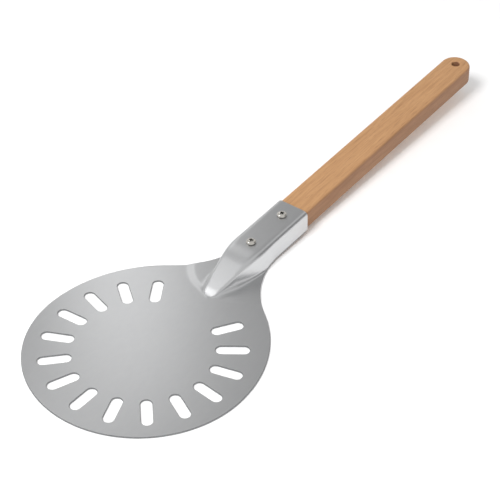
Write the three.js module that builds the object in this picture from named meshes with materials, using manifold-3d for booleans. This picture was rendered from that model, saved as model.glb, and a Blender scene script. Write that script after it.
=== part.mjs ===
// Perforated turning peel for a pizza oven. One pressed aluminium sheet is blade, neck and socket.
// A hardwood handle sits in the socket, and two machine screws hold it from above through
// threaded inserts in the wood.
//
// Millimetres. +X runs from the blade to the end of the handle, +Z is up, and the origin is the
// centre of the round blade on its underside. Apart from the turn of each screw's cross recess, the
// peel is symmetric about the XZ plane.
import * as THREE from "three";
import { mergeVertices } from "three/addons/utils/BufferGeometryUtils.js";
import Module from "manifold-3d";

// Sheet and blade
const SHEET = 1.5;
const BLADE_RADIUS = 101.6;
const SHOULDER_RADIUS = 122.5; // the rear quarters are struck from beside the blade's centre
const FILLET_RADIUS = 86; // hollow curve from the shoulder into the neck
const SLOT_PITCHES = 17; // equal divisions of the slot ring
const SLOTS = 15; // divisions in use: the two nearest the neck stay plain
const SLOT_RING_RADIUS = 74.4;
const SLOT_LENGTH = 29;
const SLOT_WIDTH = 10;
const OUTLINE_STEPS = 12; // per arc of the blade's outline
const SLOT_END_STEPS = 4;

// Handle
const HANDLE_WIDTH = 29.6;
const HANDLE_THICKNESS = 19.9;
const HANDLE_EDGE_RADIUS = 2.9;
const HANDLE_TILT = THREE.MathUtils.degToRad(2.9);
const HANDLE_REACH = 293.6; // from the socket's mouth to the end of the handle
const HANDLE_INSIDE = 70; // from the socket's mouth to the front end of the wood
const HANGING_HOLE_RADIUS = 4.1;
const HANGING_HOLE_SETBACK = 14;
const FIT_GAP = 0.2; // between pieces that touch
const EDGE_STEPS = 3;
const END_STEPS = 9;

// Socket, in the blade's frame: where its mouth is, and how high the wood's underside is there
const MOUTH_X = 211;
const MOUTH_Z = 3.8;
const MOUTH_CORNER_RADIUS = 3.5;
const MOUTH_CORNER_STEPS = 4;
const SOCKET_HALF_WIDTH = HANDLE_WIDTH / 2 + FIT_GAP + SHEET;

// Neck: a ridge that climbs from a rounded nose to the socket, on a web lifted behind a crease
const NECK_START_X = 82;
const NOSE_X = 85.5;
const NOSE_RADIUS = 7;
const NOSE_SLOPE = 0.8;
const NOSE_HEIGHT = 0.45; // where the slope of the ridge would meet the nose's station
const RIDGE_SLOPE = 0.4157;
const RIDGE_HALF_WIDTH = 5.9;
const RIDGE_SPREAD = 0.211;
const WALL_LEAN = 0.14; // outwards, for each unit of its height
const WEB_LIFT = 0.8;
const CREASE_X = 135;
const CREASE_RADIUS = 50;
const CREASE_WIDTH = 8;
const NECK_BEND_REACH = 2.2; // from the virtual corner to where the round at a wall's top begins
const SOCKET_BEND_REACH = 5;
const TIGHT_HEIGHT = 10; // ridge height up to which the bend is as tight as at the nose
const OPEN_HEIGHT = 19.5;
const FLARE_REACH = 9.5; // of the hollow round at a wall's foot, out along the web, at the nose
const FLARE_FADE = 0.38; // it shrinks by this much for each unit of the ridge's height
const LEAST_FLARE = 2.4;
const FLARE_RISE = 1.2; // its reach up the wall, as a share of its reach along the web
const BEND_STEPS = 4;
const FLARE_STEPS = 5;
const WEB_STEPS = 7;
const TONGUE = 1; // how far the neck's solid reaches into the blade's
const TONGUE_NARROWING = 0.9;

// How far the pressing rounds off where two of the neck's surfaces meet
const NOSE_BLEND = 1.5;
const TOP_BLEND = 3.8; // ridge into the socket's top
const TOE_BLEND = 2; // nose into the blade
const SOCKET_BLEND = 3;
const EDGE_BLEND = 2.5; // foot of the wall into the edge of the sheet
const SKIRT_BLEND = 1;
const NOSE_LEAST_RUN = 0.1; // keeps the nose from closing to no width

// Largest shares of a flat that a round may take, so that rounds never meet
const TOP_SHARE = 0.6;
const BEND_SHARE = 0.35; // of the wall
const FLARE_SHARE = 0.6; // of the wall
const WEB_SHARE = 0.9;

// Stations along the neck: close together where it climbs, wider along the socket
const TRIM_LENGTH = 3; // past the mouth, cut off again
const NECK_SPANS = [
  { from: NECK_START_X, to: 112, steps: 14 },
  { from: 112, to: 152, steps: 11 },
  { from: 152, to: MOUTH_X + TRIM_LENGTH, steps: 5 },
];

// Screws and inserts
const SCREW_OFFSETS = { front: -62.6, rear: -16.9 }; // along the handle from the socket's mouth
const SCREW_TURNS = { front: 20, rear: 65 }; // degrees that each recess happens to stop at
const SCREW_LENGTH = 12;
const SHANK_RADIUS = 2.45;
const HEAD_RADIUS = 4.5;
const HEAD_HEIGHT = 3;
const HEAD_RIM = 0.9; // straight side of the head, below its dome
const DOME_STEPS = 7;
const TIP_INSET = 0.6;
const TIP_LENGTH = 0.8;
const RECESS_DEPTH = 2;
const RECESS_WIDTH = 1.1;
const RECESS_SPAN = 4.8;
const RECESS_OVERCUT = 0.5;
const SHEET_HOLE_RADIUS = 2.75;
const INSERT_LENGTH = 12;
const THREAD_CLEARANCE = 0.25;
const INSERT_BORE_RADIUS = SHANK_RADIUS + THREAD_CLEARANCE;
const INSERT_CORE_RADIUS = 3.5;
const INSERT_THREAD_RADIUS = 4.1;
const INSERT_THREADS = 5;
const INSERT_SIDES = 24;
const THREAD_ROOT_END = 0.3; // as shares of one thread's pitch
const THREAD_CREST = 0.6;
const POCKET_RADIUS = INSERT_THREAD_RADIUS + FIT_GAP;
const POCKET_DEPTH = INSERT_LENGTH + 1;
const INSERT_SINK = 0.5; // below the wood's top face

const ROUND_SIDES = 32; // of a screw or a drilled hole
const WELD = 1e-4; // points this close are one point

const wasm = await Module();
wasm.setup();

const aluminium = new THREE.MeshStandardMaterial({ color: 0xb4b5b6, roughness: 0.4, metalness: 0.9 });
const hardwood = new THREE.MeshStandardMaterial({ color: 0xb88a5e, roughness: 0.6, metalness: 0 });
const brightSteel = new THREE.MeshStandardMaterial({ color: 0xd8d4cc, roughness: 0.2, metalness: 1 });
const brass = new THREE.MeshStandardMaterial({ color: 0xc9a24a, roughness: 0.3, metalness: 0.9 });

// The grip frame is square to the handle. Its origin is at the socket's mouth, on the wood's
// underside, with +X towards the end of the handle.
const grip = new THREE.Group();
grip.position.set(MOUTH_X, 0, MOUTH_Z);
grip.rotation.y = -HANDLE_TILT;
grip.updateMatrix();

// --- Solids ------------------------------------------------------------------------------------

function solidOf(geometry) {
  const bare = geometry.clone();
  bare.deleteAttribute("normal");
  bare.deleteAttribute("uv");
  const merged = mergeVertices(bare, WELD);
  return new wasm.Manifold(
    new wasm.Mesh({
      numProp: 3,
      vertProperties: merged.attributes.position.array,
      triVerts: new Uint32Array(merged.index.array),
    }),
  );
}

function meshOf(solid, name, material) {
  const { vertProperties, triVerts } = solid.getMesh();
  const geometry = new THREE.BufferGeometry();
  geometry.setAttribute("position", new THREE.BufferAttribute(vertProperties, 3));
  geometry.setIndex(new THREE.BufferAttribute(triVerts, 1));
  geometry.computeVertexNormals();
  const mesh = new THREE.Mesh(geometry, material);
  mesh.name = name;
  return mesh;
}

// A round bar along Z from one height to another.
function bar(radius, x, low, high) {
  return new THREE.CylinderGeometry(radius, radius, high - low, ROUND_SIDES)
    .rotateX(Math.PI / 2)
    .translate(x, 0, (low + high) / 2);
}

// Smooth minimum and maximum of two heights: they differ from the sharp ones within the reach.
function smoothMin(a, b, reach) {
  const closeness = Math.max(reach - Math.abs(a - b), 0) / reach;
  return Math.min(a, b) - (closeness * closeness * reach) / 4;
}

const smoothMax = (a, b, reach) => -smoothMin(-a, -b, reach);

// The other leg of a right triangle.
function legOf(hypotenuse, leg) {
  return Math.sqrt(hypotenuse ** 2 - leg ** 2);
}

// --- Outline of the sheet ----------------------------------------------------------------------

const shoulderCentreY = BLADE_RADIUS - SHOULDER_RADIUS;
const filletCentreY = SOCKET_HALF_WIDTH + FILLET_RADIUS;
const centreDistance = SHOULDER_RADIUS + FILLET_RADIUS;
const filletCentreX = legOf(centreDistance, filletCentreY - shoulderCentreY);
const shoulderEndX = (filletCentreX * SHOULDER_RADIUS) / centreDistance;

// Half the width of the sheet behind the blade's centre: shoulder, fillet, then parallel neck.
function sheetHalfWidth(x) {
  if (x < shoulderEndX) return shoulderCentreY + legOf(SHOULDER_RADIUS, x);
  if (x < filletCentreX) return filletCentreY - legOf(FILLET_RADIUS, filletCentreX - x);
  return SOCKET_HALF_WIDTH;
}

function slotOutline(angle) {
  const offset = (SLOT_LENGTH - SLOT_WIDTH) / 2;
  const end = SLOT_WIDTH / 2;
  const left = angle + Math.PI / 2;
  const right = angle - Math.PI / 2;
  const centreAt = (radius) => [radius * Math.cos(angle), radius * Math.sin(angle)];
  const path = new THREE.Path();
  path.absarc(...centreAt(SLOT_RING_RADIUS + offset), end, right, left);
  path.absarc(...centreAt(SLOT_RING_RADIUS - offset), end, left, right);
  path.closePath();
  return new THREE.Path(path.getPoints(SLOT_END_STEPS));
}

// The flat blade up to the station where the neck starts, with its ring of slots.
function bladePlate() {
  const edge = sheetHalfWidth(NECK_START_X);
  const shoulderAngle = Math.atan2(edge - shoulderCentreY, NECK_START_X);
  const outline = new THREE.Shape();
  outline.moveTo(NECK_START_X, -edge);
  outline.lineTo(NECK_START_X, edge);
  outline.absarc(0, shoulderCentreY, SHOULDER_RADIUS, shoulderAngle, Math.PI / 2);
  outline.absarc(0, 0, BLADE_RADIUS, Math.PI / 2, Math.PI);
  outline.absarc(0, 0, BLADE_RADIUS, Math.PI, 1.5 * Math.PI);
  outline.absarc(0, -shoulderCentreY, SHOULDER_RADIUS, 1.5 * Math.PI, 2 * Math.PI - shoulderAngle);
  const pitch = (2 * Math.PI) / SLOT_PITCHES;
  const first = (pitch * (SLOT_PITCHES - SLOTS + 1)) / 2;
  for (let i = 0; i < SLOTS; i++) {
    outline.holes.push(slotOutline(first + i * pitch));
  }
  return new THREE.ExtrudeGeometry(outline, {
    depth: SHEET,
    bevelEnabled: false,
    curveSegments: OUTLINE_STEPS,
  });
}

// --- Neck and socket ---------------------------------------------------------------------------

// Heights here are measured from the upper face of the web.
const gripSlope = Math.tan(HANDLE_TILT);
const undersideAt = (x) => MOUTH_Z + gripSlope * (x - MOUTH_X) - WEB_LIFT;
const socketTopAt = (x) => undersideAt(x) + HANDLE_THICKNESS + FIT_GAP;

function ridgeHeight(x) {
  const nose = NOSE_SLOPE * (x - NOSE_X);
  const slope = NOSE_HEIGHT + RIDGE_SLOPE * (x - NOSE_X);
  const climb = smoothMin(nose, slope, NOSE_BLEND);
  return smoothMax(smoothMin(climb, socketTopAt(x), TOP_BLEND), 0, TOE_BLEND);
}

function ridgeHalfWidth(x) {
  const nose = Math.sqrt(2 * NOSE_RADIUS * Math.max(x - NOSE_X, NOSE_LEAST_RUN));
  const spread = RIDGE_HALF_WIDTH + RIDGE_SPREAD * (x - NOSE_X);
  return smoothMin(smoothMin(nose, spread, NOSE_BLEND), SOCKET_HALF_WIDTH, SOCKET_BLEND);
}

function footHalfWidth(x) {
  const foot = ridgeHalfWidth(x) + WALL_LEAN * ridgeHeight(x);
  return smoothMin(foot, sheetHalfWidth(x), EDGE_BLEND);
}

function bendReach(height) {
  const opened = THREE.MathUtils.smoothstep(height, TIGHT_HEIGHT, OPEN_HEIGHT);
  return THREE.MathUtils.lerp(NECK_BEND_REACH, SOCKET_BEND_REACH, opened);
}

function flareReach(height) {
  return Math.max(FLARE_REACH - FLARE_FADE * height, LEAST_FLARE);
}

// The web stands a little above the blade, behind a crease that bows round the nose.
function webLift(x, y) {
  const distance = Math.hypot(Math.min(x - CREASE_X, 0), y);
  const ahead = THREE.MathUtils.smoothstep(distance, CREASE_RADIUS - CREASE_WIDTH, CREASE_RADIUS);
  return WEB_LIFT * (1 - ahead);
}

// One face of half a cross-section, as points from the centre line out to the cut edge. The four
// corners are the centre, the ridge's shoulder, the wall's foot and the cut edge.
function faceOf([centre, shoulder, foot, edge], bend, flare) {
  const wall = foot.clone().sub(shoulder);
  const down = wall.clone().normalize();
  const inwards = Math.min(bend, TOP_SHARE * shoulder.x);
  const downwards = Math.min(bend, BEND_SHARE * wall.length());
  const upwards = Math.min(FLARE_RISE * flare, FLARE_SHARE * wall.length());
  const outwards = Math.min(flare, WEB_SHARE * (edge.x - foot.x));
  const bendStart = new THREE.Vector2(shoulder.x - inwards, shoulder.y);
  const bendEnd = shoulder.clone().addScaledVector(down, downwards);
  const flareStart = foot.clone().addScaledVector(down, -upwards);
  const flareEnd = new THREE.Vector2(foot.x + outwards, foot.y);
  return [
    centre,
    ...new THREE.QuadraticBezierCurve(bendStart, shoulder, bendEnd).getPoints(BEND_STEPS),
    ...new THREE.QuadraticBezierCurve(flareStart, foot, flareEnd).getPoints(FLARE_STEPS),
    ...new THREE.LineCurve(flareEnd, edge).getPoints(WEB_STEPS).slice(1),
  ];
}

// Moves the corners of one face inwards by the sheet's thickness, along their mitres.
function offsetCorners([centre, shoulder, foot, edge]) {
  const wall = foot.clone().sub(shoulder);
  const flatNormal = new THREE.Vector2(0, -1);
  const wallNormal = new THREE.Vector2(wall.y, -wall.x).normalize();
  const mitre = flatNormal.clone().add(wallNormal);
  mitre.multiplyScalar(SHEET / (1 + flatNormal.dot(wallNormal)));
  const drop = flatNormal.clone().multiplyScalar(SHEET);
  return [
    centre.clone().add(drop),
    shoulder.clone().add(mitre),
    foot.clone().add(mitre),
    edge.clone().add(drop),
  ];
}

// The whole cross-section at one station: its upper face from right to left, its lower face back.
function neckSection(x) {
  const top = ridgeHeight(x);
  const footHeight = smoothMax(undersideAt(x), 0, SKIRT_BLEND);
  const corners = [
    new THREE.Vector2(0, top),
    new THREE.Vector2(ridgeHalfWidth(x), top),
    new THREE.Vector2(footHalfWidth(x), footHeight),
    new THREE.Vector2(sheetHalfWidth(x), footHeight),
  ];
  // The lower face runs inside the bend and outside the flare.
  const upper = faceOf(corners, bendReach(top), flareReach(top));
  const lower = faceOf(offsetCorners(corners), bendReach(top) - SHEET, flareReach(top) + SHEET);
  const place = (point, side) =>
    new THREE.Vector3(x, side * point.x, SHEET + webLift(x, point.x) + point.y);
  const across = (face) => [
    ...face.slice(1).reverse().map((point) => place(point, -1)),
    ...face.map((point) => place(point, 1)),
  ];
  return [...across(upper), ...across(lower).reverse()];
}

function stations() {
  const list = [];
  for (const { from, to, steps } of NECK_SPANS) {
    for (let i = 0; i < steps; i++) {
      list.push(THREE.MathUtils.lerp(from, to, i / steps));
    }
  }
  list.push(MOUTH_X + TRIM_LENGTH);
  return list;
}

// Skins the cross-sections, and closes both ends with strips between upper and lower face. A
// narrower tongue ahead of the first one reaches into the blade, so the two join as one solid.
function neckLoft() {
  const neck = stations().map(neckSection);
  const narrowed = ({ x, y, z }) => new THREE.Vector3(x - TONGUE, TONGUE_NARROWING * y, z);
  const tongue = neck[0].map(narrowed);
  const sections = [tongue, ...neck];
  const ring = sections[0].length;
  const faces = [];
  const quad = (a, b, c, d) => faces.push(a, c, b, a, d, c);
  for (let i = 0; i + 1 < sections.length; i++) {
    for (let j = 0; j < ring; j++) {
      const next = (j + 1) % ring;
      quad(i * ring + j, i * ring + next, (i + 1) * ring + next, (i + 1) * ring + j);
    }
  }
  const last = (sections.length - 1) * ring;
  for (let j = 0; j + 1 < ring / 2; j++) {
    const opposite = ring - 1 - j;
    quad(j, opposite, opposite - 1, j + 1);
    quad(last + j, last + j + 1, last + opposite - 1, last + opposite);
  }
  const geometry = new THREE.BufferGeometry().setFromPoints(sections.flat());
  geometry.setIndex(faces);
  return geometry;
}

// The space behind the socket's mouth: square to the handle, with a round corner at the lower end
// of each wall.
function mouthTrim() {
  const clear = 2 * HANDLE_THICKNESS;
  const corner = MOUTH_CORNER_RADIUS;
  const outline = new THREE.Shape();
  outline.moveTo(0, clear);
  outline.lineTo(0, corner);
  outline.absarc(-corner, corner, corner, 0, -Math.PI / 2, true);
  outline.lineTo(-corner, -clear);
  outline.lineTo(clear, -clear);
  outline.lineTo(clear, clear);
  const geometry = new THREE.ExtrudeGeometry(outline, {
    depth: 2 * clear,
    bevelEnabled: false,
    curveSegments: MOUTH_CORNER_STEPS,
  });
  return geometry.rotateX(Math.PI / 2).translate(0, clear, 0).applyMatrix4(grip.matrix);
}

function bladeAndSocket() {
  let sheet = solidOf(bladePlate()).add(solidOf(neckLoft()));
  sheet = sheet.subtract(solidOf(mouthTrim()));
  for (const offset of Object.values(SCREW_OFFSETS)) {
    const drill = bar(SHEET_HOLE_RADIUS, offset, HANDLE_THICKNESS / 2, 2 * HANDLE_THICKNESS);
    sheet = sheet.subtract(solidOf(drill.applyMatrix4(grip.matrix)));
  }
  return meshOf(sheet, "blade_and_socket", aluminium);
}

// --- Pieces in the grip frame ------------------------------------------------------------------

function handle() {
  const half = HANDLE_WIDTH / 2;
  const round = HANDLE_EDGE_RADIUS;
  const outline = new THREE.Shape();
  outline.moveTo(-HANDLE_INSIDE, -half);
  outline.lineTo(HANDLE_REACH - half, -half);
  outline.absarc(HANDLE_REACH - half, 0, half, -Math.PI / 2, Math.PI / 2);
  outline.lineTo(-HANDLE_INSIDE, half);
  const geometry = new THREE.ExtrudeGeometry(outline, {
    depth: HANDLE_THICKNESS - 2 * round,
    bevelThickness: round,
    bevelSize: round,
    bevelOffset: -round,
    bevelSegments: EDGE_STEPS,
    curveSegments: END_STEPS,
  });
  let wood = solidOf(geometry.translate(0, 0, round));
  const through = HANDLE_THICKNESS / 2;
  const holeX = HANDLE_REACH - HANGING_HOLE_SETBACK;
  const hole = bar(HANGING_HOLE_RADIUS, holeX, -through, HANDLE_THICKNESS + through);
  wood = wood.subtract(solidOf(hole));
  for (const offset of Object.values(SCREW_OFFSETS)) {
    const floor = HANDLE_THICKNESS - POCKET_DEPTH;
    const pocket = bar(POCKET_RADIUS, offset, floor, HANDLE_THICKNESS + through);
    wood = wood.subtract(solidOf(pocket));
  }
  return meshOf(wood, "handle", hardwood);
}

// Domed head and plain shank on the axis, head up, with the head's underside at height zero.
function screwBody() {
  const dome = HEAD_HEIGHT - HEAD_RIM;
  const profile = [new THREE.Vector2(0, -SCREW_LENGTH)];
  profile.push(new THREE.Vector2(SHANK_RADIUS - TIP_INSET, -SCREW_LENGTH));
  profile.push(new THREE.Vector2(SHANK_RADIUS, -SCREW_LENGTH + TIP_LENGTH));
  profile.push(new THREE.Vector2(SHANK_RADIUS, 0));
  profile.push(new THREE.Vector2(HEAD_RADIUS, 0));
  for (let i = 0; i < DOME_STEPS; i++) {
    const angle = (i / DOME_STEPS) * (Math.PI / 2);
    const height = HEAD_RIM + dome * Math.sin(angle);
    profile.push(new THREE.Vector2(HEAD_RADIUS * Math.cos(angle), height));
  }
  profile.push(new THREE.Vector2(0, HEAD_HEIGHT));
  return new THREE.LatheGeometry(profile, ROUND_SIDES).rotateX(Math.PI / 2);
}

// One arm pair of the cross recess: a blade that narrows towards its tip.
function recessArm(turn) {
  const outline = new THREE.Shape();
  outline.moveTo(-RECESS_SPAN / 2, HEAD_HEIGHT + RECESS_OVERCUT);
  outline.lineTo(-RECESS_SPAN / 4, HEAD_HEIGHT - RECESS_DEPTH);
  outline.lineTo(RECESS_SPAN / 4, HEAD_HEIGHT - RECESS_DEPTH);
  outline.lineTo(RECESS_SPAN / 2, HEAD_HEIGHT + RECESS_OVERCUT);
  const arm = new THREE.ExtrudeGeometry(outline, { depth: RECESS_WIDTH, bevelEnabled: false });
  return arm.translate(0, 0, -RECESS_WIDTH / 2).rotateX(Math.PI / 2).rotateZ(turn);
}

function screw(name, offset, turn) {
  const recess = solidOf(recessArm(turn)).add(solidOf(recessArm(turn + Math.PI / 2)));
  const mesh = meshOf(solidOf(screwBody()).subtract(recess), name, brightSteel);
  mesh.position.set(offset, 0, HANDLE_THICKNESS + SHEET + 2 * FIT_GAP);
  return mesh;
}

// A sleeve with coarse annular threads outside and a plain bore.
function insert(name, offset) {
  const pitch = INSERT_LENGTH / INSERT_THREADS;
  const profile = [new THREE.Vector2(INSERT_BORE_RADIUS, 0)];
  for (let i = 0; i < INSERT_THREADS; i++) {
    profile.push(new THREE.Vector2(INSERT_CORE_RADIUS, i * pitch));
    profile.push(new THREE.Vector2(INSERT_CORE_RADIUS, (i + THREAD_ROOT_END) * pitch));
    profile.push(new THREE.Vector2(INSERT_THREAD_RADIUS, (i + THREAD_CREST) * pitch));
  }
  profile.push(new THREE.Vector2(INSERT_CORE_RADIUS, INSERT_LENGTH));
  profile.push(new THREE.Vector2(INSERT_BORE_RADIUS, INSERT_LENGTH));
  profile.push(new THREE.Vector2(INSERT_BORE_RADIUS, 0));
  const sleeve = new THREE.LatheGeometry(profile, INSERT_SIDES).rotateX(Math.PI / 2);
  const mesh = new THREE.Mesh(sleeve, brass);
  mesh.name = name;
  mesh.position.set(offset, 0, HANDLE_THICKNESS - INSERT_SINK - INSERT_LENGTH);
  return mesh;
}

// --- Assembly ----------------------------------------------------------------------------------

grip.add(handle());
for (const [place, offset] of Object.entries(SCREW_OFFSETS)) {
  grip.add(screw(`${place}_screw`, offset, THREE.MathUtils.degToRad(SCREW_TURNS[place])));
  grip.add(insert(`${place}_insert`, offset));
}

const peel = new THREE.Group();
peel.add(bladeAndSocket());
peel.add(grip);

export default peel;
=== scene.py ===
"""Looks for the perforated turning peel: finer pieces over the CAD frame.

Shapes are worked out in millimetres in the CAD frame (+X along the handle, +Z up, origin under the
centre of the blade) and scaled to metres when a mesh is made.
"""

import math

import bmesh
import bpy
from mathutils import Matrix, Vector
from mathutils.geometry import tessellate_polygon


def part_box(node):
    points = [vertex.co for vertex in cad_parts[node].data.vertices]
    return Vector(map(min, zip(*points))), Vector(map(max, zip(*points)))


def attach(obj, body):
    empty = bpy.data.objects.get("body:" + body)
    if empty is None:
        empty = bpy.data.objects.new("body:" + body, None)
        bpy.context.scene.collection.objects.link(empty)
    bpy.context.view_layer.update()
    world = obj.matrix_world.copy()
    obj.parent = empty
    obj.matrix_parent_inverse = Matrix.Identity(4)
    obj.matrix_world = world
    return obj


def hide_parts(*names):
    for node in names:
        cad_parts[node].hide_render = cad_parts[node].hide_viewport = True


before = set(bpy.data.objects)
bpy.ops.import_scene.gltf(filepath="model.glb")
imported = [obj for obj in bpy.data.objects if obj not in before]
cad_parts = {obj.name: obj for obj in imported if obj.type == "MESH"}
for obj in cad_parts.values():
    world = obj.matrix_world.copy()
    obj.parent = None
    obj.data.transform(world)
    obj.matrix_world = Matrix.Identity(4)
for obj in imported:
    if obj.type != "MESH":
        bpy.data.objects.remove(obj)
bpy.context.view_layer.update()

MM = 0.001

# --- Sizes shared with the CAD -------------------------------------------------------------------
sheet_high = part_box("blade_and_socket")[1]
SHEET = 1.5
BLADE_RADIUS = sheet_high.y / MM
SHOULDER_RADIUS = 122.5
FILLET_RADIUS = 86.0
SLOT_PITCHES = 17
SLOTS = 15
SLOT_RING_RADIUS = 74.4
SLOT_LENGTH = 29.0
SLOT_WIDTH = 10.0

HANDLE_WIDTH = 29.6
HANDLE_THICKNESS = 19.9
HANDLE_EDGE_RADIUS = 2.9
HANDLE_TILT = math.radians(2.9)
HANDLE_REACH = 293.6
HANDLE_INSIDE = 70.0
HANGING_HOLE_RADIUS = 4.1
HANGING_HOLE_SETBACK = 14.0
FIT_GAP = 0.2

MOUTH_X = 211.0
MOUTH_Z = 3.8
MOUTH_CORNER_RADIUS = 3.5
SOCKET_HALF_WIDTH = HANDLE_WIDTH / 2 + FIT_GAP + SHEET

NECK_START_X = 82.0
NOSE_X = 85.5
NOSE_RADIUS = 7.0
NOSE_SLOPE = 0.8
NOSE_HEIGHT = 0.45
RIDGE_SLOPE = 0.4157
RIDGE_HALF_WIDTH = 5.9
RIDGE_SPREAD = 0.211
WALL_LEAN = 0.14
WEB_LIFT = 0.8
CREASE_X = 135.0
CREASE_RADIUS = 50.0
CREASE_WIDTH = 8.0
NECK_BEND_REACH = 2.2
SOCKET_BEND_REACH = 5.0
TIGHT_HEIGHT = 10.0
OPEN_HEIGHT = 19.5
FLARE_REACH = 9.5
FLARE_FADE = 0.38
LEAST_FLARE = 2.4
FLARE_RISE = 1.2
NOSE_BLEND = 1.5
TOP_BLEND = 3.8
TOE_BLEND = 2.0
SOCKET_BLEND = 3.0
EDGE_BLEND = 2.5
SKIRT_BLEND = 1.0

SCREW_OFFSETS = {"front": -62.6, "rear": -16.9}
SCREW_LENGTH = 12.0
SHANK_RADIUS = 2.45
HEAD_RADIUS = 4.5
HEAD_HEIGHT = 3.0
SHEET_HOLE_RADIUS = 2.75
POCKET_RADIUS = 4.3
POCKET_DEPTH = 13.0

EDGE_ROUND = 0.3  # deburred cut edges of the sheet

# --- Fineness of the meshes ----------------------------------------------------------------------
ARC_STEPS = 3  # per quarter turn of a cut edge
TOP_STEPS, BEND_STEPS, WALL_STEPS, FLARE_STEPS, WEB_STEPS = 5, 10, 5, 14, 24
FINE_STATIONS, COARSE_STATIONS, MOUTH_STATIONS = 90, 24, 14
FINE_END_X = 150.0
COARSE_END_X = 190.0
SHOULDER_STEPS = 36
REAR_STEPS = 150
SLOT_END_STEPS = 14
HANDLE_END_STEPS = 48
HANDLE_CORNER_STEPS = 4
HANDLE_EDGE_STEPS = 8
CIRCLE_STEPS = 40
DOME_STEPS = 14
LATHE_SEGMENTS = 64
SHEET_WELD = 1e-3  # points closer than this are joined
SOLID_WELD = 1e-4
SLIVER = 1e-9  # triangles with less than this area are left out
QUARTER = math.pi / 2

# --- Curves --------------------------------------------------------------------------------------


def smooth_min(a, b, reach):
    closeness = max(reach - abs(a - b), 0.0) / reach
    return min(a, b) - closeness * closeness * reach / 4


def smooth_max(a, b, reach):
    return -smooth_min(-a, -b, reach)


def smooth_step(value, low, high):
    t = min(max((value - low) / (high - low), 0.0), 1.0)
    return t * t * (3 - 2 * t)


shoulder_centre_y = BLADE_RADIUS - SHOULDER_RADIUS
fillet_centre_y = SOCKET_HALF_WIDTH + FILLET_RADIUS
centre_distance = SHOULDER_RADIUS + FILLET_RADIUS
fillet_centre_x = math.sqrt(centre_distance**2 - (fillet_centre_y - shoulder_centre_y) ** 2)
shoulder_end_x = fillet_centre_x * SHOULDER_RADIUS / centre_distance


def sheet_half_width(x):
    if x < shoulder_end_x:
        return shoulder_centre_y + math.sqrt(SHOULDER_RADIUS**2 - x**2)
    if x < fillet_centre_x:
        return fillet_centre_y - math.sqrt(FILLET_RADIUS**2 - (fillet_centre_x - x) ** 2)
    return SOCKET_HALF_WIDTH


grip_slope = math.tan(HANDLE_TILT)


def underside_at(x):
    return MOUTH_Z + grip_slope * (x - MOUTH_X) - WEB_LIFT


def ridge_height(x):
    nose = NOSE_SLOPE * (x - NOSE_X)
    slope = NOSE_HEIGHT + RIDGE_SLOPE * (x - NOSE_X)
    climb = smooth_min(nose, slope, NOSE_BLEND)
    socket_top = underside_at(x) + HANDLE_THICKNESS + FIT_GAP
    return smooth_max(smooth_min(climb, socket_top, TOP_BLEND), 0.0, TOE_BLEND)


LEAST_NOSE_REACH = 0.1  # keeps the nose's curve from closing to a point


def ridge_half_width(x):
    nose = math.sqrt(2 * NOSE_RADIUS * max(x - NOSE_X, LEAST_NOSE_REACH))
    spread = RIDGE_HALF_WIDTH + RIDGE_SPREAD * (x - NOSE_X)
    return smooth_min(smooth_min(nose, spread, NOSE_BLEND), SOCKET_HALF_WIDTH, SOCKET_BLEND)


def foot_half_width(x):
    foot = ridge_half_width(x) + WALL_LEAN * ridge_height(x)
    return smooth_min(foot, sheet_half_width(x), EDGE_BLEND)


def bend_reach(height):
    opened = smooth_step(height, TIGHT_HEIGHT, OPEN_HEIGHT)
    return NECK_BEND_REACH + (SOCKET_BEND_REACH - NECK_BEND_REACH) * opened


def flare_reach(height):
    return max(FLARE_REACH - FLARE_FADE * height, LEAST_FLARE)


def web_lift(x, y):
    distance = math.hypot(min(x - CREASE_X, 0.0), y)
    return WEB_LIFT * (1 - smooth_step(distance, CREASE_RADIUS - CREASE_WIDTH, CREASE_RADIUS))


def line(a, b, steps):
    """Points from a towards b, without b."""
    return [a.lerp(b, i / steps) for i in range(steps)]


def bezier(a, corner, b, steps):
    """Points of a quadratic curve from a towards b, without b."""
    out = []
    for i in range(steps):
        t = i / steps
        out.append(a * (1 - t) ** 2 + corner * (2 * t * (1 - t)) + b * t**2)
    return out


# The most that each curve may take up of the straight stretch that it is cut from.
TOP_SHARE, BEND_SHARE, FLARE_SHARE, WEB_SHARE = 0.6, 0.35, 0.6, 0.9


def face_of(centre, shoulder, foot, edge, bend, flare, edge_round):
    """One face of half a section, from the centre line out to where the cut edge's round starts."""
    wall = foot - shoulder
    down = wall.normalized()
    inwards = min(bend, TOP_SHARE * shoulder.x)
    downwards = min(bend, BEND_SHARE * wall.length)
    upwards = min(FLARE_RISE * flare, FLARE_SHARE * wall.length)
    outwards = min(flare, WEB_SHARE * (edge.x - foot.x))
    bend_start = Vector((shoulder.x - inwards, shoulder.y))
    bend_end = shoulder + down * downwards
    flare_start = foot - down * upwards
    flare_end = Vector((foot.x + outwards, foot.y))
    last = Vector((edge.x - edge_round, edge.y))
    points = line(centre, bend_start, TOP_STEPS)
    points += bezier(bend_start, shoulder, bend_end, BEND_STEPS)
    points += line(bend_end, flare_start, WALL_STEPS)
    points += bezier(flare_start, foot, flare_end, FLARE_STEPS)
    points += line(flare_end, last, WEB_STEPS)
    points.append(last)
    return points


def offset_corners(centre, shoulder, foot, edge):
    wall = foot - shoulder
    flat_normal = Vector((0, -1))
    wall_normal = Vector((wall.y, -wall.x)).normalized()
    mitre = (flat_normal + wall_normal) * (SHEET / (1 + flat_normal.dot(wall_normal)))
    drop = flat_normal * SHEET
    return centre + drop, shoulder + mitre, foot + mitre, edge + drop


def quarter_angles(steps):
    """Angles from 0 to a quarter turn, both ends included."""
    return [i / steps * math.pi / 2 for i in range(steps + 1)]


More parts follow.
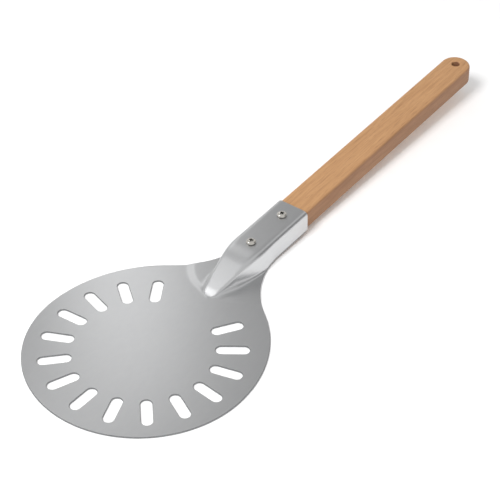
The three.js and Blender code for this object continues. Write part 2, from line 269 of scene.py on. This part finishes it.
def half_section(x):
    """Half of the neck's section: upper face outwards, round the cut edge, lower face inwards."""
    top = ridge_height(x)
    foot_height = smooth_max(underside_at(x), 0.0, SKIRT_BLEND)
    edge_x = sheet_half_width(x)
    foot_x = foot_half_width(x)
    corners = (
        Vector((0, top)),
        Vector((ridge_half_width(x), top)),
        Vector((foot_x, foot_height)),
        Vector((edge_x, foot_height)),
    )
    upper_round = min(EDGE_ROUND, 0.5 * (edge_x - foot_x))
    bend, flare = bend_reach(top), flare_reach(top)
    upper = face_of(*corners, bend, flare, upper_round)
    lower = face_of(*offset_corners(*corners), bend - SHEET, flare + SHEET, EDGE_ROUND)
    low_edge = foot_height - SHEET
    rim = []
    for a in quarter_angles(ARC_STEPS)[1:]:
        out, fall = upper_round * (1 - math.sin(a)), upper_round * (1 - math.cos(a))
        rim.append(Vector((edge_x - out, foot_height - fall)))
    for a in quarter_angles(ARC_STEPS)[:-1]:
        out, rise = EDGE_ROUND * (1 - math.cos(a)), EDGE_ROUND * (1 - math.sin(a))
        rim.append(Vector((edge_x - out, low_edge + rise)))
    return upper, rim, lower[::-1]


def mouth_reach(w):
    """How far along the handle the socket's mouth lies at height w above the wood's underside."""
    if w >= MOUTH_CORNER_RADIUS:
        return 0.0
    fall = MOUTH_CORNER_RADIUS - max(w, 0.0)
    return math.sqrt(MOUTH_CORNER_RADIUS**2 - fall**2) - MOUTH_CORNER_RADIUS


def mouth_x(z):
    """X of the socket's mouth at height z."""
    w = (z - MOUTH_Z) * math.cos(HANDLE_TILT)
    reach = mouth_reach(w)
    return MOUTH_X + reach * math.cos(HANDLE_TILT) - w * math.sin(HANDLE_TILT)


# --- Mesh helpers --------------------------------------------------------------------------------


def new_object(name, bm, smooth_angle=None):
    mesh = bpy.data.meshes.new(name)
    bm.to_mesh(mesh)
    bm.free()
    obj = bpy.data.objects.new(name, mesh)
    bpy.context.scene.collection.objects.link(obj)
    for polygon in mesh.polygons:
        polygon.use_smooth = True
    if smooth_angle is not None:
        mesh.set_sharp_from_angle(angle=math.radians(smooth_angle))
    return obj


def apply_modifiers(obj):
    depsgraph = bpy.context.evaluated_depsgraph_get()
    mesh = bpy.data.meshes.new_from_object(obj.evaluated_get(depsgraph))
    obj.modifiers.clear()
    old = obj.data
    obj.data = mesh
    bpy.data.meshes.remove(old)


def cut(obj, cutters):
    """Takes the cutters' solids away from obj, then removes the cutters."""
    for cutter in cutters:
        modifier = obj.modifiers.new("cut", "BOOLEAN")
        modifier.operation = "DIFFERENCE"
        modifier.solver = "EXACT"
        modifier.object = cutter
    bpy.context.view_layer.update()
    apply_modifiers(obj)
    for cutter in cutters:
        bpy.data.objects.remove(cutter)


def fill(bm, loops, height, up):
    """Fills a flat outline with holes at one height. Loops are lists of (x, y)."""
    flat = [[Vector((x, y, 0)) for x, y in loop] for loop in loops]
    points = [p for loop in flat for p in loop]
    verts = [bm.verts.new((p.x, p.y, height)) for p in points]
    for a, b, c in tessellate_polygon(flat):
        turn = (points[b] - points[a]).cross(points[c] - points[a]).z
        order = (a, b, c) if (turn > 0) == up else (a, c, b)
        if abs(turn) > SLIVER:
            bm.faces.new([verts[i] for i in order])


def ring_strip(bm, rings, closed=True):
    """Skins a stack of rings of points with quads."""
    verts = [[bm.verts.new(p) for p in ring] for ring in rings]
    faces = []
    for low, high in zip(verts, verts[1:]):
        n = len(low)
        for i in range(n if closed else n - 1):
            j = (i + 1) % n
            faces.append(bm.faces.new((low[i], low[j], high[j], high[i])))
    return faces


def arc(cx, cy, radius, start, end, steps):
    out = []
    for i in range(steps + 1):
        a = start + (end - start) * i / steps
        out.append((cx + radius * math.cos(a), cy + radius * math.sin(a)))
    return out


# --- Blade and socket ----------------------------------------------------------------------------


def slot_loop(angle, grow):
    """An obround slot's outline, grown by a distance, anticlockwise."""
    offset = (SLOT_LENGTH - SLOT_WIDTH) / 2
    radius = SLOT_WIDTH / 2 + grow
    ends = ((SLOT_RING_RADIUS + offset, -QUARTER), (SLOT_RING_RADIUS - offset, QUARTER))
    out = []
    for ring, start in ends:
        cx, cy = ring * math.cos(angle), ring * math.sin(angle)
        out += arc(cx, cy, radius, angle + start, angle + start + math.pi, SLOT_END_STEPS)
    return out


def outline_point(radius, centre_y, angle, inset):
    r = radius - inset
    return r * math.cos(angle), centre_y + r * math.sin(angle)


def blade_outline(inset):
    """The blade's outline inside an inset, anticlockwise from the neck's left to its right."""
    edge = sheet_half_width(NECK_START_X)
    start = math.atan2(edge - shoulder_centre_y, NECK_START_X)
    out = [(NECK_START_X, edge - inset)]
    for i in range(1, SHOULDER_STEPS + 1):
        a = start + (math.pi / 2 - start) * i / SHOULDER_STEPS
        out.append(outline_point(SHOULDER_RADIUS, shoulder_centre_y, a, inset))
    for i in range(1, REAR_STEPS):
        a = math.pi / 2 + math.pi * i / REAR_STEPS
        out.append(outline_point(BLADE_RADIUS, 0.0, a, inset))
    mirrored = [(x, -y) for x, y in out[: SHOULDER_STEPS + 1]]
    return out + mirrored[::-1]


def cut_edge_profile():
    """(inset, height) pairs of a cut edge, from the upper face to the lower face."""
    pairs = []
    for a in quarter_angles(ARC_STEPS):
        pairs.append((EDGE_ROUND * (1 - math.sin(a)), SHEET - EDGE_ROUND * (1 - math.cos(a))))
    for a in quarter_angles(ARC_STEPS):
        pairs.append((EDGE_ROUND * (1 - math.cos(a)), EDGE_ROUND * (1 - math.sin(a))))
    return pairs


def neck_stations():
    """X of each parallel section, closer together where the neck is shaped."""
    fine = (NECK_START_X, FINE_END_X, FINE_STATIONS)
    coarse = (FINE_END_X, COARSE_END_X, COARSE_STATIONS)
    out = []
    for start, end, steps in (fine, coarse):
        out += [start + (end - start) * i / steps for i in range(steps)]
    out.append(COARSE_END_X)
    return out


def neck_rings():
    """The neck's closed sections, each mirrored about the XZ plane, the last on the mouth."""
    rings = []

    def place(x, p, side, target):
        target.append(Vector((x, side * p.x, SHEET + web_lift(x, p.x) + p.y)))

    def ring_at(x_of):
        """A ring through the points of the half section, each at the X that x_of gives it."""
        count = len(flat_half(NECK_START_X))
        left, right = [], []
        for i in range(count):
            x = x_of(i)
            p = flat_half(x)[i]
            place(x, p, 1, left)
            place(x, p, -1, right)
        return left + right[::-1]

    cache = {}

    def flat_half(x):
        key = round(x, 4)
        if key not in cache:
            upper, rim, lower = half_section(key)
            cache[key] = upper + rim + lower
        return cache[key]

    for x in neck_stations():
        rings.append(ring_at(lambda i, x=x: x))
    # Behind the last parallel station every line of points runs to its own place on the mouth.
    start = neck_stations()[-1]
    half = flat_half(MOUTH_X)
    ends = []
    for p in half:
        z = SHEET + web_lift(MOUTH_X, p.x) + p.y
        ends.append(mouth_x(z + grip_slope * (mouth_x(z) - MOUTH_X)))
    for k in range(1, MOUTH_STATIONS + 1):
        t = k / MOUTH_STATIONS
        rings.append(ring_at(lambda i, t=t: start + (ends[i] - start) * t))
    return rings


UPPER_COUNT = len(half_section(NECK_START_X)[0])
RIM_COUNT = 2 * ARC_STEPS
LOWER_START = UPPER_COUNT + RIM_COUNT


def neck_cut_faces(faces, ring_size):
    """The neck's faces that lie on its cut edge, between a section's upper and lower face."""
    found = []
    for k, face in enumerate(faces):
        i = k % ring_size
        i = min(i, ring_size - 2 - i)
        if UPPER_COUNT - 1 <= i < LOWER_START:
            found.append(face)
    return found


def mouth_end_faces(bm, last):
    """The socket's end face, from the upper and lower points of the neck's last ring."""
    left = last[: len(last) // 2]
    upper = left[:UPPER_COUNT]
    lower = left[LOWER_START:][::-1]
    outlines = []
    for i in range(UPPER_COUNT - 1):
        outlines.append([upper[i], upper[i + 1], lower[i + 1], lower[i]])
    outlines.append([upper[-1]] + left[UPPER_COUNT:LOWER_START] + [lower[-1]])
    found = []
    for side in (1, -1):
        for outline in outlines:
            outline = [Vector((p.x, side * p.y, p.z)) for p in outline]
            if side < 0:
                outline.reverse()
            found.append(bm.faces.new([bm.verts.new(p) for p in outline]))
    return found


ON_AXIS = 1e-6  # a point nearer the XZ plane than this lies on it


def across(seam):
    """The seam between blade and neck, from its right end to its left."""
    seam = sorted(seam, key=lambda p: p[1])
    positive = [p for p in seam if p[1] > ON_AXIS]
    return [(x, -y) for x, y in positive[::-1]] + [(NECK_START_X, 0.0)] + positive


def slot_angles():
    pitch = 2 * math.pi / SLOT_PITCHES
    return [pitch * ((SLOT_PITCHES - SLOTS + 1) / 2 + i) for i in range(SLOTS)]


def build_blade(bm, first):
    """The flat blade up to the neck's first ring. Returns the faces of its cut edges."""
    half = len(first) // 2
    seam_upper = [(p.x, p.y) for p in first[:UPPER_COUNT]]
    seam_lower = [(p.x, p.y) for p in first[LOWER_START:half]]
    slots = [slot_loop(a, EDGE_ROUND) for a in slot_angles()]
    for seam, height, up in ((seam_upper, SHEET, True), (seam_lower, 0.0, False)):
        border = blade_outline(EDGE_ROUND)[1:-1] + across(seam)
        fill(bm, [border] + slots, height, up)
    profile = cut_edge_profile()
    rims = [[(x, y, z) for x, y in blade_outline(inset)] for inset, z in profile]
    found = ring_strip(bm, rims, closed=False)
    for a in slot_angles():
        rims = [[(x, y, z) for x, y in slot_loop(a, inset)] for inset, z in profile]
        found += ring_strip(bm, rims)
    return found


PLANE_FACE = 0.99999  # a face whose normal is this upright is plane
SEAM_MARGIN = 0.01


def shade_blade_flat(obj):
    """Gives the blade's plane faces one normal each, so its rounded edges don't tint them."""
    for polygon in obj.data.polygons:
        on_blade = polygon.center.x < (NECK_START_X + SEAM_MARGIN) * MM
        if on_blade and abs(polygon.normal.z) > PLANE_FACE:
            polygon.use_smooth = False


def finish_mesh(bm, weld):
    """Joins doubled points, turns the faces outwards and scales from millimetres to metres."""
    bmesh.ops.remove_doubles(bm, verts=bm.verts, dist=weld)
    bmesh.ops.recalc_face_normals(bm, faces=bm.faces)
    bmesh.ops.scale(bm, vec=(MM, MM, MM), verts=bm.verts)


SHEET_SHARP_ANGLE = 50


def build_sheet():
    bm = bmesh.new()
    edge_layer = bm.faces.layers.int.new("cut")
    rings = neck_rings()
    cut_faces = neck_cut_faces(ring_strip(bm, rings), len(rings[0]))
    cut_faces += mouth_end_faces(bm, rings[-1])
    cut_faces += build_blade(bm, rings[0])
    for face in cut_faces:
        face[edge_layer] = 1
    finish_mesh(bm, SHEET_WELD)
    obj = new_object("blade_and_socket_sheet", bm, SHEET_SHARP_ANGLE)
    shade_blade_flat(obj)
    return obj


GRIP = Matrix.Translation((MOUTH_X * MM, 0, MOUTH_Z * MM)) @ Matrix.Rotation(-HANDLE_TILT, 4, "Y")


def cylinder(name, radius, x, low, high):
    bm = bmesh.new()
    depth = high - low
    bmesh.ops.create_cone(
        bm,
        cap_ends=True,
        segments=LATHE_SEGMENTS,
        radius1=radius * MM,
        radius2=radius * MM,
        depth=depth * MM,
        matrix=Matrix.Translation((x * MM, 0, (low + high) / 2 * MM)),
    )
    obj = new_object(name, bm)
    obj.matrix_world = GRIP
    return obj


DRILL_LOW = HANDLE_THICKNESS - 1.0
DRILL_HIGH = HANDLE_THICKNESS + 6.0
sheet = build_sheet()
drills = []
for x in SCREW_OFFSETS.values():
    drills.append(cylinder("drill", SHEET_HOLE_RADIUS, x, DRILL_LOW, DRILL_HIGH))
cut(sheet, drills)

# --- Handle --------------------------------------------------------------------------------------


HANDLE_CORNER = 1.2
LEAST_CORNER = 0.05  # what is left of a corner once the inset has taken it up


def handle_outline(inset):
    half = HANDLE_WIDTH / 2
    centre = HANDLE_REACH - half
    radius = max(HANDLE_CORNER - inset, LEAST_CORNER)
    x = -HANDLE_INSIDE + inset + radius
    left, right = half - inset - radius, -half + inset + radius
    out = arc(centre, 0.0, half - inset, -QUARTER, QUARTER, HANDLE_END_STEPS)
    out += arc(x, left, radius, QUARTER, 2 * QUARTER, HANDLE_CORNER_STEPS)
    out += arc(x, right, radius, 2 * QUARTER, 3 * QUARTER, HANDLE_CORNER_STEPS)
    return out


def circle(x, radius):
    end = 2 * math.pi * (CIRCLE_STEPS - 1) / CIRCLE_STEPS
    return arc(x, 0.0, radius, 0.0, end, CIRCLE_STEPS - 1)


def at_height(loop, z):
    return [(x, y, z) for x, y in loop]


HOLE_CHAMFER = 0.5
HANDLE_SHARP_ANGLE = 30


def build_handle():
    bm = bmesh.new()
    top = HANDLE_THICKNESS
    r = HANDLE_EDGE_RADIUS
    rings = []
    for a in quarter_angles(HANDLE_EDGE_STEPS):
        rings.append(at_height(handle_outline(r * (1 - math.sin(a))), top - r * (1 - math.cos(a))))
    for a in quarter_angles(HANDLE_EDGE_STEPS):
        rings.append(at_height(handle_outline(r * (1 - math.cos(a))), r * (1 - math.sin(a))))
    ring_strip(bm, rings)
    hole_x = HANDLE_REACH - HANGING_HOLE_SETBACK
    wide = circle(hole_x, HANGING_HOLE_RADIUS + HOLE_CHAMFER)
    narrow = circle(hole_x, HANGING_HOLE_RADIUS)
    pockets = [circle(x, POCKET_RADIUS) for x in SCREW_OFFSETS.values()]
    fill(bm, [handle_outline(r), wide, *pockets], top, True)
    fill(bm, [handle_outline(r), wide], 0.0, False)
    hole = ((wide, top), (narrow, top - HOLE_CHAMFER), (narrow, HOLE_CHAMFER), (wide, 0.0))
    ring_strip(bm, [at_height(loop, z) for loop, z in hole])
    pocket_floor = top - POCKET_DEPTH
    for loop in pockets:
        ring_strip(bm, [at_height(loop, top), at_height(loop, pocket_floor)])
        fill(bm, [loop], pocket_floor, True)
    finish_mesh(bm, SOLID_WELD)
    obj = new_object("wooden_handle", bm, HANDLE_SHARP_ANGLE)
    obj.matrix_world = GRIP
    return obj


handle = build_handle()

# --- Screws --------------------------------------------------------------------------------------


SHANK_TIP_INSET = 0.6
SHANK_TIP_HEIGHT = 0.8
HEAD_EDGE = 0.15
HEAD_RIM = 0.9  # height of the head's straight rim under its dome
RECESS_DEPTH = 2.0
RECESS_OVERSHOOT = 0.5
RECESS_FLOOR = (1.2, 0.4)  # half length and half width of one arm at the bottom
RECESS_MOUTH = (2.5, 0.65)  # the same above the head
SCREW_SHARP_ANGLE = 40
CUT_SCREW_SHARP_ANGLE = 35
SCREW_TURNS = {"front": math.radians(20), "rear": math.radians(65)}
BOX_SIDES = ((3, 2, 1, 0), (4, 5, 6, 7), (0, 1, 5, 4), (1, 2, 6, 5), (2, 3, 7, 6), (3, 0, 4, 7))


def lathe(bm, profile):
    turns = [2 * math.pi * k / LATHE_SEGMENTS for k in range(LATHE_SEGMENTS)]
    rings = []
    for radius, z in profile:
        rings.append([(radius * math.cos(a), radius * math.sin(a), z) for a in turns])
    ring_strip(bm, rings)


def screw_profile():
    """(radius, height) pairs from the tip of the shank to the top of the head."""
    profile = [
        (0.0, -SCREW_LENGTH),
        (SHANK_RADIUS - SHANK_TIP_INSET, -SCREW_LENGTH),
        (SHANK_RADIUS, -SCREW_LENGTH + SHANK_TIP_HEIGHT),
        (SHANK_RADIUS, 0.0),
        (HEAD_RADIUS - HEAD_EDGE, 0.0),
        (HEAD_RADIUS, HEAD_EDGE),
    ]
    for a in quarter_angles(DOME_STEPS):
        height = HEAD_RIM + (HEAD_HEIGHT - HEAD_RIM) * math.sin(a)
        profile.append((HEAD_RADIUS * math.cos(a), height))
    return profile


def recess_cutter(turn):
    """One arm of the cross recess, wider at its mouth than at its floor."""
    arm = bmesh.new()
    floor_height, mouth_height = HEAD_HEIGHT - RECESS_DEPTH, HEAD_HEIGHT + RECESS_OVERSHOOT
    corners = []
    for (half_x, half_y), z in ((RECESS_FLOOR, floor_height), (RECESS_MOUTH, mouth_height)):
        for side_x, side_y in ((-1, -1), (1, -1), (1, 1), (-1, 1)):
            place = (side_x * half_x * MM, side_y * half_y * MM, z * MM)
            corners.append(arm.verts.new(place))
    for side in BOX_SIDES:
        arm.faces.new([corners[i] for i in side])
    cutter = new_object("recess_cutter", arm)
    cutter.matrix_world = Matrix.Rotation(turn, 4, "Z")
    return cutter


def build_screw(name, offset, turn):
    bm = bmesh.new()
    lathe(bm, screw_profile())
    finish_mesh(bm, SOLID_WELD)
    obj = new_object(name, bm, SCREW_SHARP_ANGLE)
    cut(obj, [recess_cutter(turn + k * math.pi / 2) for k in range(2)])
    obj.data.set_sharp_from_angle(angle=math.radians(CUT_SCREW_SHARP_ANGLE))
    height = HANDLE_THICKNESS + SHEET + 2 * FIT_GAP
    obj.matrix_world = GRIP @ Matrix.Translation((offset * MM, 0, height * MM))
    return obj


front_screw = build_screw("front_pan_screw", SCREW_OFFSETS["front"], SCREW_TURNS["front"])
rear_screw = build_screw("rear_pan_screw", SCREW_OFFSETS["rear"], SCREW_TURNS["rear"])

# --- Materials -----------------------------------------------------------------------------------


class Nodes:
    """A short way to write a material's node tree."""

    def __init__(self, name):
        self.material = bpy.data.materials.new(name)
        self.material.use_nodes = True
        self.tree = self.material.node_tree
        self.shader = self.tree.nodes["Principled BSDF"]
        self.coords = self.tree.nodes.new("ShaderNodeTexCoord").outputs["Object"]

    def add(self, kind, inputs=None, **settings):
        node = self.tree.nodes.new(kind)
        for key, value in settings.items():
            setattr(node, key, value)
        for key, value in (inputs or {}).items():
            self.put(node.inputs[key], value)
        return node

    def put(self, socket, value):
        if isinstance(value, bpy.types.NodeSocket):
            self.tree.links.new(value, socket)
        else:
            socket.default_value = value

    def stretched(self, scale):
        node = self.add("ShaderNodeMapping", {"Vector": self.coords, "Scale": scale})
        return node.outputs["Vector"]

    def noise(self, vector, scale, detail=2.0, roughness=0.5, distortion=0.0):
        inputs = {"Vector": vector, "Scale": scale, "Detail": detail}
        inputs.update({"Roughness": roughness, "Distortion": distortion})
        return self.add("ShaderNodeTexNoise", inputs).outputs["Fac"]

    def remap(self, value, from_low, from_high, to_low, to_high):
        inputs = {"Value": value, "From Min": from_low, "From Max": from_high}
        inputs.update({"To Min": to_low, "To Max": to_high})
        return self.add("ShaderNodeMapRange", inputs).outputs["Result"]

    def math(self, operation, a, b):
        node = self.add("ShaderNodeMath", {0: a, 1: b}, operation=operation)
        return node.outputs["Value"]

    def mix(self, factor, a, b, blend="MIX"):
        node = self.add("ShaderNodeMix", data_type="RGBA", blend_type=blend)
        self.put(node.inputs["Factor"], factor)
        self.put(node.inputs["A"], a)
        self.put(node.inputs["B"], b)
        return node.outputs["Result"]

    def ramp(self, factor, stops):
        node = self.add("ShaderNodeValToRGB", {"Fac": factor})
        elements = node.color_ramp.elements
        while len(elements) < len(stops):
            elements.new(0.5)
        for element, (place, colour) in zip(elements, stops):
            element.position = place
            element.color = colour
        return node.outputs["Color"]

    def bump(self, height, strength, distance, normal=None):
        inputs = {"Height": height, "Strength": strength, "Distance": distance}
        node = self.add("ShaderNodeBump", inputs)
        if normal is not None:
            self.put(node.inputs["Normal"], normal)
        return node.outputs["Normal"]

    def finish(self, **sockets):
        for key, value in sockets.items():
            self.put(self.shader.inputs[key.replace("_", " ")], value)
        return self.material


def satin_aluminium():
    n = Nodes("satin_aluminium")
    grain = n.noise(n.stretched((40, 90, 90)), 3, 2, 0.5)
    haze = n.noise(n.coords, 40, 3, 0.5)
    spots = n.noise(n.coords, 520, 2, 0.5)
    tone = n.ramp(grain, [(0.3, (0.624, 0.629, 0.636, 1)), (0.7, (0.638, 0.643, 0.648, 1))])
    along_grain = n.remap(grain, 0.3, 0.7, 0.352, 0.358)
    roughness = n.math("ADD", along_grain, n.remap(haze, 0.3, 0.7, -0.003, 0.003))
    normal = n.bump(spots, 0.02, 0.00002)
    return n.finish(Base_Color=tone, Metallic=1.0, Roughness=roughness, Normal=normal)


def cut_aluminium():
    """The sheared walls of slots and outline, duller than the faces and dark with painted shade."""
    n = Nodes("cut_aluminium")
    scuff = n.noise(n.stretched((200, 200, 40)), 5, 3, 0.6)
    # Painted shade: these walls are coloured far darker than the sheet's faces.
    tone = n.ramp(scuff, [(0.3, (0.20, 0.205, 0.21, 1)), (0.7, (0.32, 0.325, 0.33, 1))])
    roughness = n.remap(scuff, 0.3, 0.7, 0.42, 0.58)
    normal = n.bump(scuff, 0.1, 0.00003)
    return n.finish(Base_Color=tone, Metallic=1.0, Roughness=roughness, Normal=normal)


def hardwood():
    """Oiled wood; painted shade darkens and reddens its sides and darkens its end grain more."""
    n = Nodes("oiled_hardwood")
    grain = n.noise(n.stretched((1.0, 22, 15)), 17, 5, 0.6, 0.4)
    streaks = n.noise(n.stretched((1.6, 60, 60)), 26, 4, 0.65)
    pores = n.noise(n.stretched((8, 150, 150)), 9, 3, 0.6)
    body = n.ramp(
        grain,
        [
            (0.3, (0.42, 0.225, 0.105, 1)),
            (0.5, (0.52, 0.29, 0.14, 1)),
            (0.7, (0.58, 0.335, 0.165, 1)),
        ],
    )
    body = n.mix(n.remap(streaks, 0.35, 0.7, 0.0, 0.5), body, (0.44, 0.225, 0.095, 1))
    body = n.mix(n.remap(pores, 0.54, 0.72, 0.0, 0.6), body, (0.27, 0.13, 0.06, 1))
    # Painted shade: faces turned sideways and endways are darkened by their normal.
    normal_now = n.add("ShaderNodeNewGeometry").outputs["Normal"]
    facing = n.add("ShaderNodeSeparateXYZ", {"Vector": normal_now})
    painted_side_shade = n.remap(n.math("ABSOLUTE", facing.outputs["Y"], 0.0), 0.5, 0.9, 0.0, 1.0)
    painted_end_shade = n.remap(n.math("ABSOLUTE", facing.outputs["X"], 0.0), 0.5, 0.9, 0.0, 1.0)
    body = n.mix(painted_side_shade, body, n.mix(1.0, body, (0.70, 0.655, 0.71, 1), "MULTIPLY"))
    body = n.mix(painted_end_shade, body, n.mix(1.0, body, (0.60, 0.55, 0.66, 1), "MULTIPLY"))
    roughness = n.remap(streaks, 0.3, 0.7, 0.5, 0.62)
    normal = n.bump(pores, 0.12, 0.0002)
    normal = n.bump(streaks, 0.08, 0.0003, normal)
    surface = {"Roughness": roughness, "Normal": normal, "Specular_IOR_Level": 0.35}
    return n.finish(Base_Color=body, Metallic=0.0, **surface)


RECESS_SHADE = 0.0025  # metres over which the screws' recess is darkened


def bright_nickel():
    n = Nodes("bright_nickel")
    haze = n.noise(n.coords, 900, 3, 0.6)
    tone = n.ramp(haze, [(0.3, (0.56, 0.535, 0.49, 1)), (0.7, (0.72, 0.70, 0.66, 1))])
    # Painted shade: the recess is darkened where its walls close it in.
    occlusion = n.add("ShaderNodeAmbientOcclusion", {"Distance": RECESS_SHADE}, samples=16)
    shade = n.remap(occlusion.outputs["AO"], 0.35, 0.85, 0.9, 0.0)
    tone = n.mix(shade, tone, (0.06, 0.055, 0.05, 1))
    roughness = n.remap(haze, 0.3, 0.7, 0.08, 0.16)
    normal = n.bump(haze, 0.05, 0.00003)
    return n.finish(Base_Color=tone, Metallic=1.0, Roughness=roughness, Normal=normal)


def turned_brass():
    n = Nodes("turned_brass")
    rings = n.noise(n.stretched((40, 40, 900)), 8, 3, 0.6)
    tone = n.ramp(rings, [(0.3, (0.55, 0.36, 0.12, 1)), (0.7, (0.72, 0.50, 0.20, 1))])
    roughness = n.remap(rings, 0.3, 0.7, 0.22, 0.38)
    normal = n.bump(rings, 0.1, 0.00004)
    return n.finish(Base_Color=tone, Metallic=1.0, Roughness=roughness, Normal=normal)


def dress(obj, material):
    obj.data.materials.clear()
    obj.data.materials.append(material)


metal = satin_aluminium()
wood = hardwood()
nickel = bright_nickel()
brass = turned_brass()
for obj, material, slot, node in (
    (sheet, metal, "sheet_aluminium", "blade_and_socket"),
    (handle, wood, "hardwood", "handle"),
    (front_screw, nickel, "plated_steel", "front_screw"),
    (rear_screw, nickel, "plated_steel", "rear_screw"),
):
    dress(obj, material)
    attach(obj, "root")
    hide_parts(node)
sheet.data.materials.append(cut_aluminium())
for face, on_cut_edge in zip(sheet.data.polygons, sheet.data.attributes["cut"].data):
    face.material_index = on_cut_edge.value
for node in ("front_insert", "rear_insert"):
    dress(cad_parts[node], brass)

# --- Stage ---------------------------------------------------------------------------------------

FLOOR_GLOW = 0.07
FLOOR_HALF_SIZE = 4.0
FLOOR_CELLS = 8
FLOOR_PLACE = (0.1, 0.0, -0.0003)


def build_floor():
    bm = bmesh.new()
    bmesh.ops.create_grid(
        bm, x_segments=FLOOR_CELLS, y_segments=FLOOR_CELLS, size=FLOOR_HALF_SIZE
    )
    obj = new_object("floor", bm)
    obj.location = FLOOR_PLACE
    n = Nodes("pale_floor")
    speck = n.noise(n.coords, 60, 2, 0.5)
    tone = n.ramp(speck, [(0.3, (0.93, 0.93, 0.93, 1)), (0.7, (0.95, 0.95, 0.95, 1))])
    glow = {"Emission_Color": tone, "Emission_Strength": FLOOR_GLOW}
    dress(obj, n.finish(Base_Color=tone, Roughness=0.9, Specular_IOR_Level=0.0, **glow))
    return obj


floor = build_floor()

STUDIO_BRIGHT = 0.75
# Each dim patch: azimuth, elevation, where it starts, where it is dimmest (degrees), what is left.
STUDIO_PATCHES = (
    (45.0, 47.0, 38.0, 10.0, 0.467),
    (-46.0, 24.0, 34.0, 8.0, 0.25),
)


def towards(azimuth, elevation):
    """The direction at an azimuth and elevation in degrees."""
    a, e = math.radians(azimuth), math.radians(elevation)
    return Vector((math.cos(a) * math.cos(e), math.sin(a) * math.cos(e), math.sin(e)))


def studio_patch(tree, direction, azimuth, elevation, outer, inner, left):
    """How much light a patch leaves in each direction, as a node output."""
    dot = tree.nodes.new("ShaderNodeVectorMath")
    dot.operation = "DOT_PRODUCT"
    tree.links.new(direction, dot.inputs[0])
    dot.inputs[1].default_value = towards(azimuth, elevation)
    fade = tree.nodes.new("ShaderNodeMapRange")
    fade.interpolation_type = "SMOOTHSTEP"
    fade.inputs["From Min"].default_value = math.cos(math.radians(outer))
    fade.inputs["From Max"].default_value = math.cos(math.radians(inner))
    fade.inputs["To Min"].default_value = 1.0
    fade.inputs["To Max"].default_value = left
    tree.links.new(dot.outputs["Value"], fade.inputs["Value"])
    return fade.outputs["Result"]


def build_studio():
    """Pale surroundings all round, with dim patches that the metal reflects."""
    world = bpy.data.worlds.new("studio")
    bpy.context.scene.world = world
    world.use_nodes = True
    tree = world.node_tree
    background = tree.nodes["Background"]
    background.inputs["Color"].default_value = (1, 1, 1, 1)
    direction = tree.nodes.new("ShaderNodeTexCoord").outputs["Generated"]
    brightness = tree.nodes.new("ShaderNodeValue")
    brightness.outputs["Value"].default_value = STUDIO_BRIGHT
    strength = brightness.outputs["Value"]
    for patch in STUDIO_PATCHES:
        product = tree.nodes.new("ShaderNodeMath")
        product.operation = "MULTIPLY"
        tree.links.new(strength, product.inputs[0])
        tree.links.new(studio_patch(tree, direction, *patch), product.inputs[1])
        strength = product.outputs["Value"]
    tree.links.new(strength, background.inputs["Strength"])


build_studio()


# Each softbox: its azimuth and elevation in degrees and distance from its aim, the aim, its size
# and its power. The key lights only matt surfaces, and the others are only seen in reflections.
SOFTBOXES = {
    "key": ((178, 54), 2.4, (0.18, 0.0, 0.0), (0.75, 0.75), 39.0),
    "sheen": ((42, 41), 0.65, (0.03, 0.06, 0.0), (0.15, 0.3), 0.168),
    "slope": ((110, 58), 0.45, (0.092, 0.0, 0.01), (0.12, 0.12), 0.085),
    "glint": ((134, 47), 1.5, (0.09, 0.0, 0.0), (0.35, 0.35), 1.51),
}


def softbox(name, bearing, distance, aim, size, power):
    data = bpy.data.lights.new(name, "AREA")
    data.shape = "RECTANGLE"
    data.size, data.size_y = size
    data.energy = power
    obj = bpy.data.objects.new(name, data)
    bpy.context.scene.collection.objects.link(obj)
    obj.location = Vector(aim) + towards(*bearing) * distance
    direction = Vector(aim) - obj.location
    obj.rotation_euler = direction.to_track_quat("-Z", "Y").to_euler()
    obj.visible_camera = False
    return obj


for name, settings in SOFTBOXES.items():
    light = softbox(name, *settings)
    if name == "key":
        light.visible_glossy = False
    else:
        light.visible_diffuse = False

# --- Camera --------------------------------------------------------------------------------------
CAMERA_LENS = 111.29
SENSOR_WIDTH = 36.0
CLIP_END = 20.0
CAMERA_PLACE = Vector((-0.70297, -0.64113, 0.88027))
CAMERA_AIM = Vector((0.15863, 0.00955, 0.0015))
CAMERA_ROLL = math.radians(0.577)

camera_data = bpy.data.cameras.new("camera")
camera_data.lens = CAMERA_LENS
camera_data.sensor_width = SENSOR_WIDTH
camera_data.clip_end = CLIP_END
camera = bpy.data.objects.new("camera", camera_data)
bpy.context.scene.collection.objects.link(camera)
view = (CAMERA_AIM - CAMERA_PLACE).to_track_quat("-Z", "Y").to_matrix().to_4x4()
roll = Matrix.Rotation(CAMERA_ROLL, 4, "Z")
camera.matrix_world = Matrix.Translation(CAMERA_PLACE) @ view @ roll
bpy.context.scene.camera = camera
bpy.context.scene.view_settings.view_transform = "Standard"
